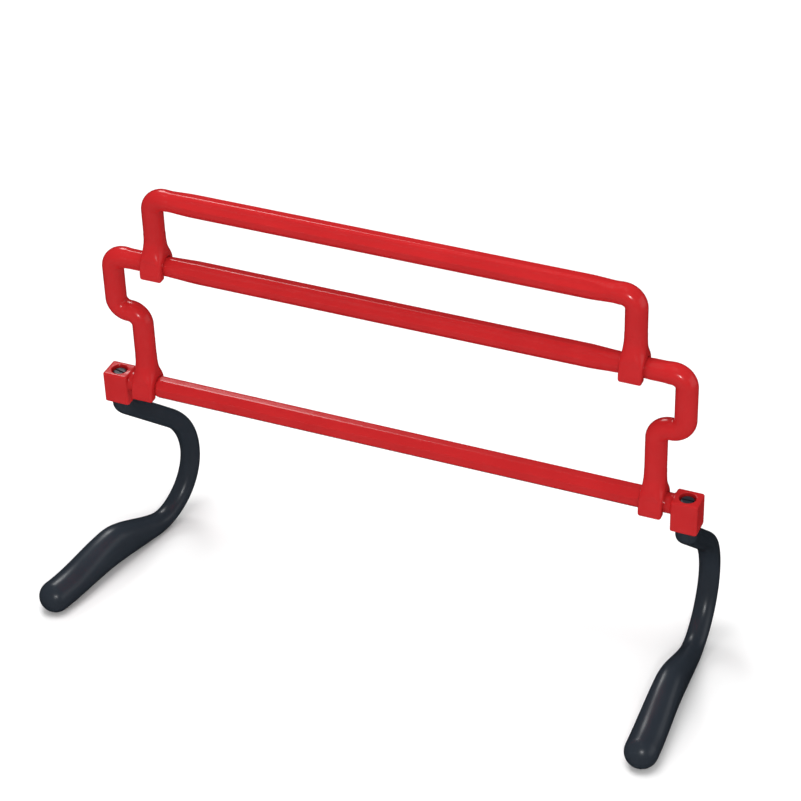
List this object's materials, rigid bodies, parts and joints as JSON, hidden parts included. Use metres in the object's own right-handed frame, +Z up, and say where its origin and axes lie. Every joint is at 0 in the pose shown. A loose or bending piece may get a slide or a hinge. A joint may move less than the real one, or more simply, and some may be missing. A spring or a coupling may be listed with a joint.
{
  "type": "agility hurdle",
  "caption": "Low training hurdle: a level crossbar on two swivelling curved legs, carrying two bar frames that clip to the bars and fold down to change the height.",
  "frame": {"origin": "on the floor, under the crossbar's axis, midway between the two leg sockets", "axes": "+Z up, +X along the bars towards the right-hand leg, the feet point towards -Y"},
  "size_m": [0.4859, 0.1769, 0.3298],
  "materials": {
    "red_plastic": "smooth moulded red plastic, half gloss",
    "black_plastic": "smooth moulded blue-black plastic, half gloss"
  },
  "bodies": {
    "crossbar": {"crossbar": "red_plastic"},
    "middle_frame": {"middle_frame": "red_plastic"},
    "top_frame": {"top_frame": "red_plastic"},
    "left_leg": {"left_leg": "black_plastic"},
    "right_leg": {"right_leg": "black_plastic"}
  },
  "joints": [
    {"name": "middle_frame_fold", "type": "hinge", "parent": "crossbar", "child": "middle_frame", "pos_m": [0, 0, 0.1586], "axis": [1, 0, 0], "range_deg": [-130, 180]},
    {"name": "top_frame_fold", "type": "hinge", "parent": "middle_frame", "child": "top_frame", "pos_m": [0, 0, 0.2666], "axis": [1, 0, 0], "range_deg": [-180, 180]},
    {"name": "left_leg_swivel", "type": "hinge", "parent": "crossbar", "child": "left_leg", "pos_m": [-0.2185, 0, 0.1414], "axis": [0, 0, 1], "range_deg": [-20, 194.5]},
    {"name": "right_leg_swivel", "type": "hinge", "parent": "crossbar", "child": "right_leg", "pos_m": [0.2185, 0, 0.1414], "axis": [0, 0, 1], "range_deg": [-181, 33.5]}
  ]
}
